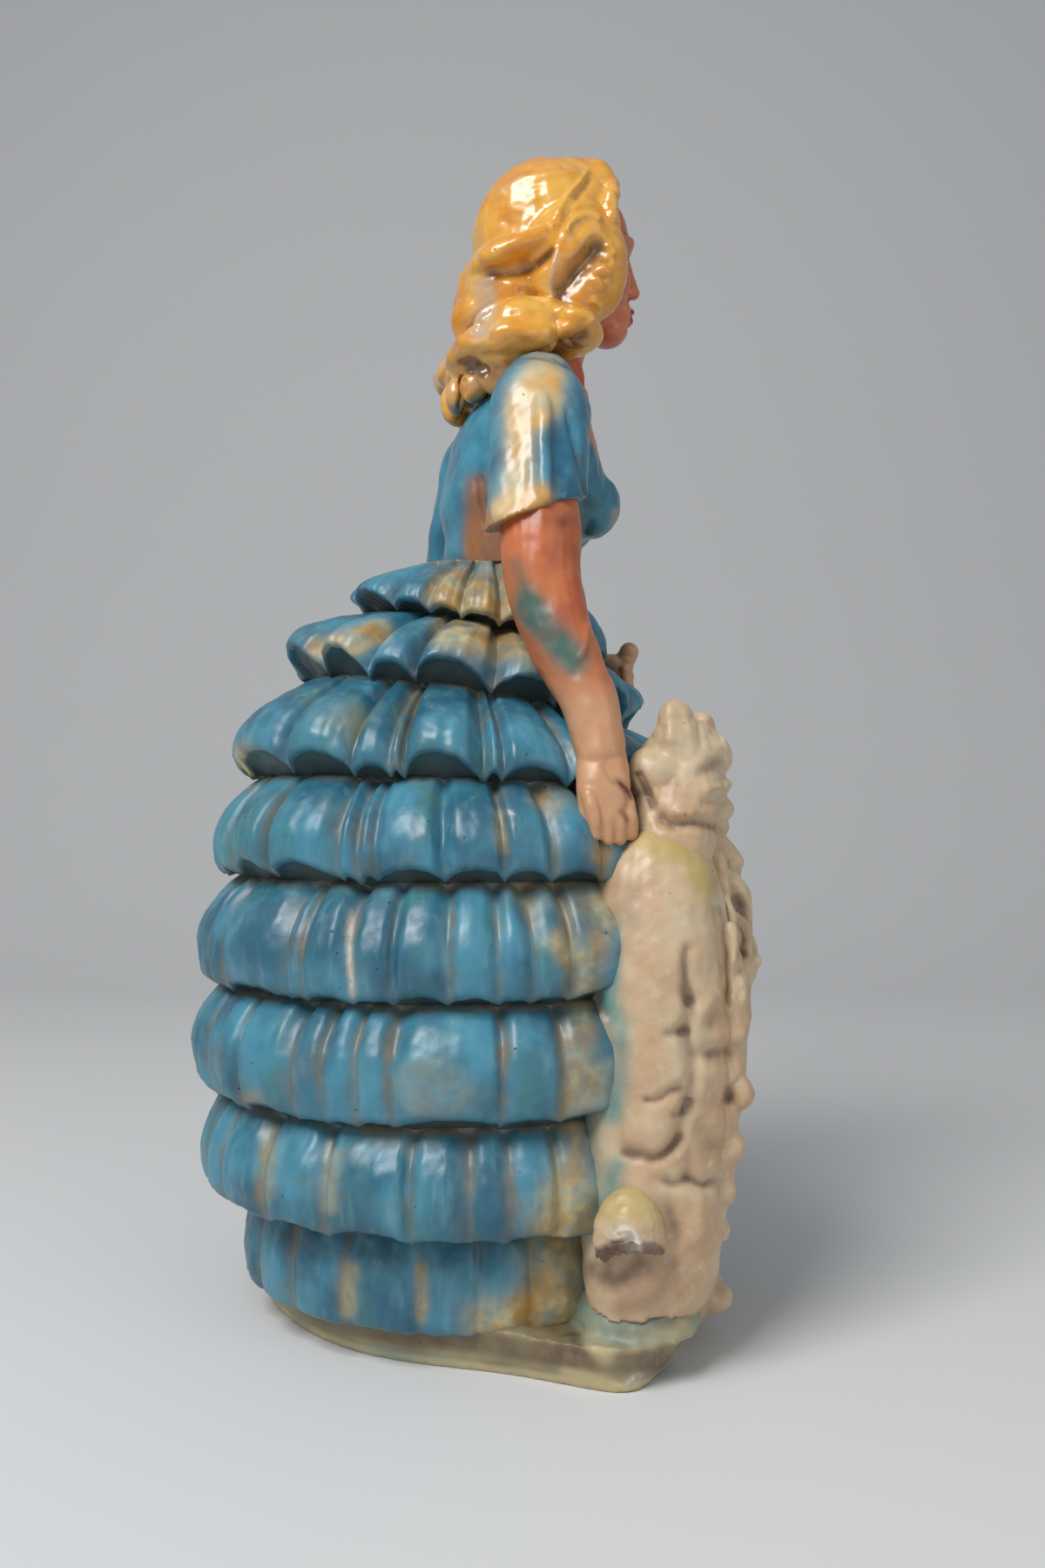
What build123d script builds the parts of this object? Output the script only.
from build123d import *
import math
import os

os.makedirs("parts", exist_ok=True)

# The frame: +Z up, the lady faces -Y and her right hand is at -X; every place here is from the skirt's axis.

# Reach of the cutting planes, past the whole figure.
REACH = 400.0

# Skirt: from the waist down, each ruffle hangs from one plane to the next.
# (name, hem height, centre y, top radius, widest radius, hem radius, pleat depth)
RUFFLES = [
    ("waist_ruffle", 207.0, -5.0, 20.5, 38.0, 36.0, 1.6),
    ("skirt_ruffle_1", 182.0, -1.0, 30.0, 56.0, 53.5, 2.6),
    ("skirt_ruffle_2", 158.0, 0.0, 47.0, 70.5, 68.0, 2.4),
    ("skirt_ruffle_3", 131.0, 0.0, 60.5, 76.5, 74.5, 2.2),
    ("skirt_ruffle_4", 100.0, 0.0, 68.0, 81.0, 78.5, 2.0),
    ("skirt_ruffle_5", 68.0, 0.0, 72.0, 82.5, 80.0, 2.0),
    ("skirt_ruffle_6", 38.5, 0.0, 71.5, 80.0, 77.5, 2.0),
    ("skirt_ruffle_7", 12.0, 0.0, 62.0, 67.0, 64.5, 1.6),
]
HEM_TILTS = [10.0, 6.0, 0.0, 0.0, 0.0, 0.0, 0.0, 0.0]
WAIST_HEIGHT = 226.0
WAIST_TILT = 5.0
# Down each ruffle: (share of the drop, share of the swell, share of the pleat depth).
DROP_SHARES = [(0.0, 0.0, 0.3), (0.32, 0.62, 0.6), (0.78, 1.0, 1.0)]
PLEATS = 22
POINTS_PER_PLEAT = 4
SLOW_WAVE_SHARE = 0.35

# The hollow that the slip was poured out of: (height, radius).
HOLLOW = [(0.0, 52.0), (14.0, 53.0), (38.0, 55.0), (68.0, 63.0), (100.0, 64.0), (131.0, 60.0), (158.0, 52.0),
          (182.0, 38.0)]
HOLLOW_TOP = 202.0
HOLLOW_TOP_RADIUS = 19.0
TORSO_HOLLOW = [((0.0, -5.0, 195.0), 13.0), ((0.0, -11.0, 226.0), 11.0), ((0.0, -17.0, 246.0), 14.0),
                ((0.0, -18.5, 263.0), 11.0)]
DOG_HOLLOW = [((-69.0, -31.0, -10.0), 8.5), ((-70.0, -34.0, 25.0), 8.5), ((-69.0, -38.0, 80.0), 10.0),
              ((-67.0, -40.0, 122.0), 7.0)]

# Plinth: plan outlines underneath and on top.
PLINTH_UNDER = [
    (12, 60), (-12, 56), (-40, 41), (-53, 26), (-66, 4), (-80, -14), (-85, -24), (-79, -33), (-63, -44),
    (-46, -55), (-27, -62), (0, -64), (30, -56), (52, -37), (61, -6), (56, 24), (38, 48),
]
PLINTH_OVER = [
    (12, 62), (-12, 58), (-41, 43), (-54, 28), (-68, 5), (-83, -13), (-88, -25), (-85, -37), (-72, -48),
    (-54, -57), (-30, -65), (0, -67), (31, -58), (53, -38), (63, -6), (58, 25), (39, 51),
]
PLINTH_HEIGHT = 12.0
MOUND_AT = (-69.0, -32.0, 8.0)
MOUND_RADII = (19.0, 18.0, 18.0)

# Torso: (height, centre y, half width, half depth) from the waist to under the chin.
TORSO = [
    (226.0, -11.0, 22.5, 18.0), (236.0, -16.0, 26.0, 21.5), (246.0, -19.5, 31.0, 27.0),
    (258.0, -19.0, 34.0, 24.0), (269.0, -18.5, 35.0, 21.0), (279.0, -19.5, 27.0, 15.5),
    (287.0, -24.5, 13.5, 12.5), (296.0, -28.2, 10.9, 10.7), (303.0, -30.3, 10.6, 10.6),
]
NECKLINE_AT = (0.0, -46.0, 249.0)
NECKLINE_TILT = 45.0

# Inside the head the neck runs on to this section.
NECK_END = (320.0, -34.0, 9.5, 9.5)

# Head and hair: (centre, radii).
SKULL = ((0.0, -33.5, 332.0), (18.5, 21.5, 24.5))
JAW = ((0.0, -40.0, 317.0), (13.0, 14.5, 13.5))
NOSE = ((0.0, -54.5, 326.0), (3.0, 4.5, 6.0))
CROWN = ((0.0, -28.0, 335.0), (24.0, 25.0, 25.0))
POMPADOUR = ((0.0, -39.0, 348.5), (18.5, 14.0, 13.5))
HAIRLINE_AT = (0.0, -47.5, 330.0)
HAIRLINE_TILT = 8.0
SIDE_WAVE = ((20.5, -30.5, 320.0), (9.5, 17.0, 21.0))
BACK_WAVE = ((0.0, -11.0, 313.0), (22.0, 14.5, 20.0))
LOWER_ROLL = ((20.5, -18.5, 297.5), (11.5, 21.5, 10.0))
NAPE_CURL = ((8.5, -2.0, 285.0), (9.0, 9.0, 11.5))

# Arms: (point, radius) down the limb, the lady's right side; the sleeve has its own half depth.
SLEEVE = [((-31.0, -16.5, 279.0), 8.0, 9.0), ((-37.0, -14.5, 270.0), 13.0, 14.0),
          ((-43.0, -12.0, 254.0), 12.5, 14.0), ((-48.5, -9.5, 233.0), 12.0, 15.0)]
RIGHT_ARM = [((-46.5, -11.0, 240.0), 9.0), ((-52.5, -12.0, 218.0), 8.8), ((-61.0, -18.0, 197.0), 8.0),
             ((-67.5, -22.0, 180.0), 6.6), ((-71.5, -26.0, 164.0), 4.8)]
RIGHT_HAND = [((-71.5, -26.0, 164.0), 4.6), ((-74.5, -27.5, 155.0), 7.0), ((-77.0, -28.0, 146.0), 5.6)]
LEFT_ARM = [((46.5, -12.0, 240.0), 8.8), ((50.0, -14.0, 222.0), 8.4), ((48.0, -22.0, 208.0), 8.0),
            ((31.0, -40.0, 202.0), 6.4), ((15.0, -49.0, 197.5), 4.8)]
LEFT_HAND = [((15.0, -49.0, 197.5), 4.6), ((6.0, -51.0, 194.0), 7.2), ((-3.0, -51.0, 190.0), 5.4)]
LEFT_THUMB = ((2.0, -54.5, 200.0), (3.2, 3.2, 4.2))

# Dog: (height, centre x, centre y, half width, half length), turned to the dog's heading.
DOG_HEADING = 30.0
DOG_BODY = [
    (10.0, -70.0, -33.0, 13.0, 15.5), (45.0, -70.0, -36.0, 17.5, 20.0), (80.0, -69.0, -38.0, 18.5, 20.5),
    (112.0, -67.5, -39.5, 18.0, 19.5), (132.0, -66.0, -41.0, 14.5, 16.0), (143.5, -65.0, -42.5, 7.5, 9.0),
]
DOG_HAUNCH = ((-76.0, -40.0, 38.0), (12.0, 13.0, 24.0))
DOG_RUFF = [((-57.0, -53.0, 146.0), 9.0), ((-56.5, -57.0, 128.0), 11.5), ((-56.5, -58.5, 108.0), 13.0),
            ((-57.5, -54.5, 84.0), 11.5), ((-58.0, -52.0, 60.0), 10.5)]
DOG_FRINGE = [((-72.0, -54.5, 116.0), 5.0), ((-72.5, -57.5, 98.0), 7.0), ((-73.5, -53.5, 76.0), 7.5),
              ((-73.0, -51.5, 54.0), 7.5), ((-71.0, -48.5, 32.0), 6.5)]
DOG_NECK = [((-65.0, -43.0, 138.0), 13.0), ((-62.5, -48.0, 149.0), 12.0), ((-61.0, -50.5, 160.0), 11.0)]
DOG_SKULL = ((-61.0, -51.5, 167.5), (10.5, 13.0, 12.5))
DOG_MUZZLE = [((-61.0, -58.0, 168.0), 8.0), ((-62.5, -62.5, 170.0), 5.6)]
DOG_EARS = {
    "dog_right_ear": [((-66.5, -47.0, 173.0), 5.4), ((-67.0, -45.5, 182.0), 2.0)],
    "dog_left_ear": [((-54.5, -56.0, 173.0), 5.0), ((-53.0, -58.0, 181.0), 2.0)],
}
DOG_FORELEGS = {
    "dog_right_foreleg": [
        ((-64.0, -55.0, 58.0), 8.5), ((-61.0, -53.5, 32.0), 6.5), ((-58.0, -52.5, 10.0), 6.0),
    ],
    "dog_left_foreleg": [
        ((-51.0, -60.0, 58.0), 7.5), ((-47.0, -58.5, 32.0), 6.0), ((-45.0, -57.0, 10.0), 5.5),
    ],
}
TAIL_STUMP = ((-85.0, -24.5, 39.0), (9.0, 9.5, 13.5))
SHOE_TOE = ((-24.0, -66.0, 12.0), (6.5, 9.0, 6.0))


def blob(centre, radii):
    """An ellipsoid."""
    return Pos(*centre) * scale(Sphere(1), by=radii)


def limb(stations):
    """A rounded limb through (point, radius) stations: a loft of circles across the path, with ball ends."""
    points = [Vector(*p) for p, _ in stations]
    faces = []
    for i, (point, radius) in enumerate(stations):
        before, after = points[max(i - 1, 0)], points[min(i + 1, len(points) - 1)]
        faces.append(Plane(origin=point, z_dir=after - before) * Circle(radius))
    return loft(faces)


def columns(sections, turn=0.0):
    """A loft of upright ellipses, each (height, x, y, half width, half depth)."""
    return loft([Pos(x, y, z) * Rot(0, 0, turn) * Ellipse(a, b) for z, x, y, a, b in sections])


def half_space(at, tilt, above):
    """The big box above or below a plane through a point, tilted about X."""
    side = 1 if above else -1
    return Pos(*at) * Rot(tilt, 0, 0) * Pos(0, 0, side * REACH / 2) * Box(REACH, REACH, REACH)


def pleat_wave(turn_share):
    """Height of the pleats, from -1 to 1, with slow waves so that no two are alike."""
    angle = 2 * math.pi * turn_share
    uneven = SLOW_WAVE_SHARE * (math.sin(5 * angle + 1) + math.sin(3 * angle))
    return math.cos(PLEATS * angle + uneven)


def ruffle_section(height, centre_y, radius, depth, tilt):
    """The closed outline of a ruffle on one plane, higher at the back by the tilt."""
    count = PLEATS * POINTS_PER_PLEAT
    points = []
    for i in range(count):
        angle = 2 * math.pi * i / count
        r = radius + depth * pleat_wave(i / count)
        x, y = r * math.sin(angle), centre_y + r * math.cos(angle)
        points.append((x, y, height + y * math.tan(math.radians(tilt))))
    return Face(Wire([Spline(*points, periodic=True)]))


def ruffle(index):
    """One pleated ruffle from the plane above to its own hem."""
    name, hem, centre_y, top_radius, wide_radius, hem_radius, depth = RUFFLES[index]
    top = RUFFLES[index - 1][1] if index else WAIST_HEIGHT
    top_tilt = HEM_TILTS[index - 1] if index else WAIST_TILT
    top_y = RUFFLES[index - 1][2] if index else RUFFLES[0][2]
    faces = []
    for drop, swell, share in DROP_SHARES:
        faces.append(ruffle_section(
            top + (hem - top) * drop,
            top_y + (centre_y - top_y) * drop,
            top_radius + (wide_radius - top_radius) * swell,
            depth * share,
            top_tilt + (HEM_TILTS[index] - top_tilt) * drop,
        ))
    faces.append(ruffle_section(hem, centre_y, hem_radius, depth, HEM_TILTS[index]))
    return loft(faces)


def mirrored(centre_radii):
    """The same ellipsoid on the lady's other side."""
    (x, y, z), radii = centre_radii
    return (-x, y, z), radii


def mirror_limb(stations):
    """The same limb on the lady's other side."""
    return [((-x, y, z), *rest) for (x, y, z), *rest in stations]


def sleeve(stations):
    """A flared sleeve through (point, half width, half depth) stations."""
    points = [Vector(*p) for p, _, _ in stations]
    faces = []
    for i, (point, a, b) in enumerate(stations):
        before, after = points[max(i - 1, 0)], points[min(i + 1, len(points) - 1)]
        plane = Plane(origin=point, x_dir=(1, 0, 0), z_dir=after - before)
        faces.append(plane * Ellipse(a, b))
    return loft(faces)


# The hollow, open underneath and closed by a dome under the waist.
hollow_side = Spline(*[(r, 0, z) for z, r in HOLLOW], (HOLLOW_TOP_RADIUS, 0, HOLLOW_TOP))
hollow_corners = [(HOLLOW_TOP_RADIUS, 0, HOLLOW_TOP), (0, 0, HOLLOW_TOP), (0, 0, 0), (HOLLOW[0][1], 0, 0)]
outline = hollow_side + Polyline(*hollow_corners)
hollow = revolve(make_face(outline), Axis.Z) + limb(TORSO_HOLLOW) + limb(DOG_HOLLOW)

nodes = {}


def keep(name, form, *taken):
    """Cuts away what the named nodes and forms already fill and keeps the largest piece."""
    for other in taken:
        form = form - (nodes[other] if isinstance(other, str) else other)
    nodes[name] = max(form.solids(), key=lambda s: s.volume)
    print(name, round(nodes[name].volume), nodes[name].is_valid, flush=True)


under = Face(Wire([Spline(*[(x, y, 0) for x, y in PLINTH_UNDER], periodic=True)]))
over = Face(Wire([Spline(*[(x, y, PLINTH_HEIGHT) for x, y in PLINTH_OVER], periodic=True)]))
mound = blob(MOUND_AT, MOUND_RADII) & half_space((0, 0, PLINTH_HEIGHT), 0, True)
keep("plinth", loft([under, over]) + mound, hollow)

dog_column = columns(DOG_BODY, DOG_HEADING)
keep("dog_body", dog_column, hollow, "plinth")

for index, row in enumerate(RUFFLES):
    keep(row[0], ruffle(index), hollow, dog_column, "plinth")

# The torso, split at the neckline.
skirt_names = [row[0] for row in RUFFLES]
torso = loft([Pos(0, y, z) * Ellipse(a, b) for z, y, a, b in TORSO])
stub = loft([Pos(0, y, z) * Ellipse(a, b) for z, y, a, b in (TORSO[-1], NECK_END)])
skull = blob(*SKULL) + blob(*JAW) + blob(*NOSE) + stub
keep("bodice", torso & half_space(NECKLINE_AT, NECKLINE_TILT, False), "waist_ruffle", hollow)
keep("chest_and_neck", torso & half_space(NECKLINE_AT, NECKLINE_TILT, True))
keep("head", skull)

# Hair: each later piece gives way to those before it.
hair_side = half_space(HAIRLINE_AT, 90 - HAIRLINE_TILT, False)
keep("hair_crown", (blob(*CROWN) + blob(*POMPADOUR)) & hair_side, skull, torso)
keep("hair_back_wave", blob(*BACK_WAVE) & hair_side, skull, torso, "hair_crown")
for side, place in (("left", SIDE_WAVE), ("right", mirrored(SIDE_WAVE))):
    keep(f"hair_{side}_wave", blob(*place) & hair_side, skull, torso, "hair_crown", "hair_back_wave")
for side, place in (("left", LOWER_ROLL), ("right", mirrored(LOWER_ROLL))):
    keep(f"hair_{side}_roll", blob(*place), skull, torso, "hair_crown", "hair_back_wave", f"hair_{side}_wave")
for side, place in (("left", NAPE_CURL), ("right", mirrored(NAPE_CURL))):
    keep(f"nape_{side}_curl", blob(*place), torso, "hair_back_wave", f"hair_{side}_roll",
         *(["nape_left_curl"] if side == "right" else []))

# Sleeves and arms.
for side, stations in (("right", SLEEVE), ("left", mirror_limb(SLEEVE))):
    keep(f"{side}_sleeve", sleeve(stations), torso, f"hair_{side}_roll")
keep("right_arm", limb(RIGHT_ARM), torso, "right_sleeve", *skirt_names[:3])
keep("left_arm", limb(LEFT_ARM), torso, "left_sleeve", *skirt_names[:3])
keep("right_hand", limb(RIGHT_HAND), "right_arm", *skirt_names[:4], "dog_body")
keep("left_hand", limb(LEFT_HAND) + blob(*LEFT_THUMB), "left_arm", *skirt_names[:3])

# The rest of the dog, from the neck down; what comes later gives way.
lady_side = ["right_hand", "right_arm", *skirt_names[1:]]
keep("dog_neck", limb(DOG_NECK), "dog_body", *lady_side)
keep("dog_head", blob(*DOG_SKULL) + limb(DOG_MUZZLE), "dog_neck", *lady_side[:5])
for name, stations in DOG_EARS.items():
    keep(name, limb(stations), "dog_head")
keep("dog_chest_ruff", limb(DOG_RUFF), "dog_body", "dog_neck", "dog_head", *skirt_names[2:])
keep("dog_haunch", blob(*DOG_HAUNCH), "dog_body", "dog_chest_ruff", "plinth", *skirt_names[4:])
keep("dog_side_fringe", limb(DOG_FRINGE), "dog_body", "dog_chest_ruff", "dog_haunch", "plinth",
     *skirt_names[3:])
for name, stations in DOG_FORELEGS.items():
    keep(name, limb(stations), "dog_body", "dog_chest_ruff", "dog_side_fringe", "dog_haunch", "plinth",
         *skirt_names[4:], *(["dog_right_foreleg"] if "left" in name else []))
keep("tail_stump", blob(*TAIL_STUMP), "dog_haunch", "dog_body", "plinth", *skirt_names[5:])
toe = blob(*SHOE_TOE) & half_space((0, 0, PLINTH_HEIGHT), 0, True)
keep("shoe_toe", toe, "plinth", "skirt_ruffle_7", "dog_left_foreleg")

# The row's origin is under the middle of the whole figure's box; the sizes above are from the skirt's axis.
boxes = [solid.bounding_box() for solid in nodes.values()]
middle_x = (min(b.min.X for b in boxes) + max(b.max.X for b in boxes)) / 2
middle_y = (min(b.min.Y for b in boxes) + max(b.max.Y for b in boxes)) / 2
to_origin = Pos(-middle_x, -middle_y, 0)
print("moved by", tuple(to_origin.position), flush=True)
for name, solid in nodes.items():
    export_step(solid.moved(to_origin), f"parts/{name}.step")
